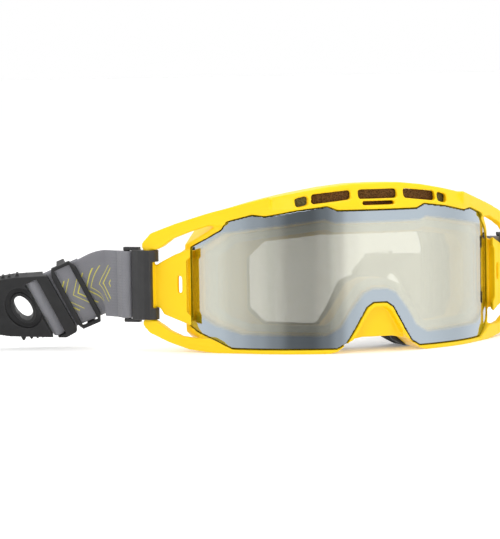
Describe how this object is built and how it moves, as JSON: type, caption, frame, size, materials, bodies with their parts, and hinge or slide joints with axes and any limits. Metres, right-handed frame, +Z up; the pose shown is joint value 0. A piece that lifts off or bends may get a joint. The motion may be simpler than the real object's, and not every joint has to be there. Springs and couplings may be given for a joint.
{
  "type": "motorcycle goggles",
  "caption": "Motocross goggles with a curved double lens, vented moulded frame with outriggers, foam face seal, and webbing straps with clips, sliders and helmet buckles.",
  "frame": {"origin": "on the resting plane (the lower edge of the frame), in the middle from side to side, straight below the frontmost line of the lens", "axes": "+X to the right as seen from the front, which is the wearer's left; -Y forward, the way the wearer looks; +Z up"},
  "size_m": [0.3177, 0.1326, 0.0948],
  "materials": {
    "frame": "satin moulded elastomer, bright yellow",
    "lens": "polished, light silver-blue mirror",
    "inner_pane": "clear, anti-fog",
    "gasket": "matte foam tape",
    "flange": "matte, black",
    "foam": "open-cell foam, black",
    "fleece": "brushed fleece, black",
    "vent_foam": "open-cell filter foam, brown",
    "webbing": "woven elastic, grey with yellow line pattern",
    "clip": "moulded, dark grey",
    "buckle": "moulded, black, satin"
  },
  "bodies": {
    "frame": {"frame": "frame", "face_flange": "flange", "foam_base": "foam", "foam_middle": "foam", "foam_fleece": "fleece", "top_vent_foam": "vent_foam", "bottom_vent_foam": "vent_foam"},
    "lens": {"outer_lens": "lens", "lens_gasket": "gasket", "inner_lens": "inner_pane"},
    "clip_right": {"clip_right": "clip"},
    "strap_front_right": {"strap_front_right": "webbing"},
    "strap_rear_right": {"strap_rear_right": "webbing"},
    "slider_right": {"slider_right": "buckle"},
    "buckle_right": {"buckle_right": "buckle"},
    "clip_left": {"clip_left": "clip"},
    "strap_front_left": {"strap_front_left": "webbing"},
    "strap_rear_left": {"strap_rear_left": "webbing"},
    "slider_left": {"slider_left": "buckle"},
    "buckle_left": {"buckle_left": "buckle"}
  },
  "joints": [
    {"name": "lens_release", "type": "slide", "parent": "frame", "child": "lens", "axis": [0, -1, 0], "range_m": [0, 0.03]},
    {"name": "clip_pivot_right", "type": "hinge", "parent": "frame", "child": "clip_right", "pos_m": [-0.11241, 0.06961, 0.0378], "axis": [0, 0, -1], "range_deg": [-15, 45]},
    {"name": "strap_swing_right", "type": "hinge", "parent": "clip_right", "child": "strap_front_right", "pos_m": [-0.12281, 0.07898, 0.0378], "axis": [0, 0, -1], "range_deg": [-35, 30]},
    {"name": "strap_flex_right", "type": "hinge", "parent": "strap_front_right", "child": "strap_rear_right", "pos_m": [-0.13199, 0.10061, 0.0378], "axis": [0.2586, 0.1079, -0.9599], "range_deg": [-30, 70]},
    {"name": "slider_slide_right", "type": "slide", "parent": "strap_rear_right", "child": "slider_right", "axis": [-0.8273, 0.4071, -0.3871], "range_m": [-0.005, 0]},
    {"name": "buckle_pivot_right", "type": "hinge", "parent": "strap_rear_right", "child": "buckle_right", "pos_m": [-0.16107, 0.11573, 0.0244], "axis": [0.4964, 0.2072, -0.843], "range_deg": [0, 60]},
    {"name": "clip_pivot_left", "type": "hinge", "parent": "frame", "child": "clip_left", "pos_m": [0.11241, 0.06961, 0.0378], "axis": [0, 0, 1], "range_deg": [-65, 3]},
    {"name": "strap_swing_left", "type": "hinge", "parent": "clip_left", "child": "strap_front_left", "pos_m": [0.11192, 0.0836, 0.0378], "axis": [0, 0, 1], "range_deg": [-45, 4]},
    {"name": "strap_flex_left", "type": "hinge", "parent": "strap_front_left", "child": "strap_rear_left", "pos_m": [0.09834, 0.10278, 0.0378], "axis": [-0.1769, 0.0188, 0.984], "range_deg": [-50, 0]},
    {"name": "slider_slide_left", "type": "slide", "parent": "strap_rear_left", "child": "slider_left", "axis": [-0.9313, 0.1, -0.3501], "range_m": [-0.005, 0]},
    {"name": "buckle_pivot_left", "type": "hinge", "parent": "strap_rear_left", "child": "buckle_left", "pos_m": [0.06528, 0.10553, 0.02541], "axis": [-0.3482, 0.037, 0.9367], "range_deg": [0, 50]}
  ]
}
